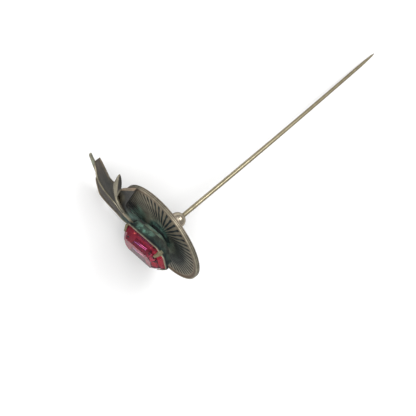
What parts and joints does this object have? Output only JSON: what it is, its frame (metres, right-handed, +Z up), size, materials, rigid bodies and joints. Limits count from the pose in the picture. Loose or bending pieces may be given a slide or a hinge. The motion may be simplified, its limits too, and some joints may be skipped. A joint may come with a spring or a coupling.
{
  "type": "stick pin",
  "caption": "Stick pin with a fluted metal disc, a stamped leaf spray, a step-cut red stone in a claw setting, and a long straight pin behind a ball.",
  "frame": {"origin": "middle of the box round the pin as it lies, at the height of the surface it lies on", "axes": "+X along the wire towards its point, +Z up from the surface, the leaf spray towards -Y"},
  "size_m": [0.0876, 0.0386, 0.0273],
  "materials": {
    "wire": "drawn pale brass wire, lightly tarnished",
    "collar": "turned brass with a rosy tarnish",
    "disc": "dark antique patina, worn brighter on the lip",
    "spray": "dark antique patina with worn pale edges",
    "setting": "dark patina with verdigris, pale worn frame",
    "stone": "polished red glass, step cut"
  },
  "bodies": {
    "root": {"pin_stem": "wire", "ball_collar": "collar", "fluted_disc": "disc", "leaf_spray": "spray", "stone_setting": "setting", "red_stone": "stone"}
  },
  "joints": []
}
